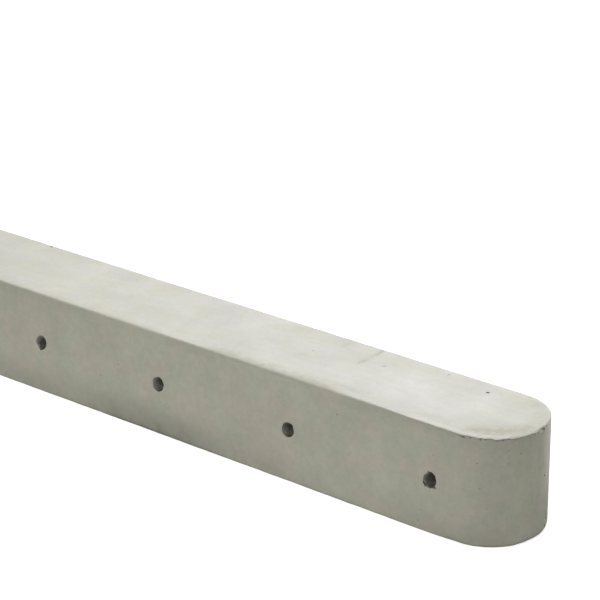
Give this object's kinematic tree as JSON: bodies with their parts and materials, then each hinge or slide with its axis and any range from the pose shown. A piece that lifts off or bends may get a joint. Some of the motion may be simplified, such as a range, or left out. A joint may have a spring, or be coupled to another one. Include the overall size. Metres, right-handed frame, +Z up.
{
  "type": "concrete fence post",
  "caption": "Square precast concrete fence post with a half-round head and a row of through holes for line wires, lying on its bed face.",
  "frame": {"origin": "middle of the outline of the bed face, which the post lies on", "axes": "+X along the post towards the half-round head, +Y across it along the wire holes, +Z up"},
  "size_m": [1.9999, 0.1, 0.1],
  "materials": {
    "concrete": "matt cast concrete, trowelled on the upper face and moulded on the sides"
  },
  "bodies": {
    "root": {"post": "concrete"}
  },
  "joints": []
}
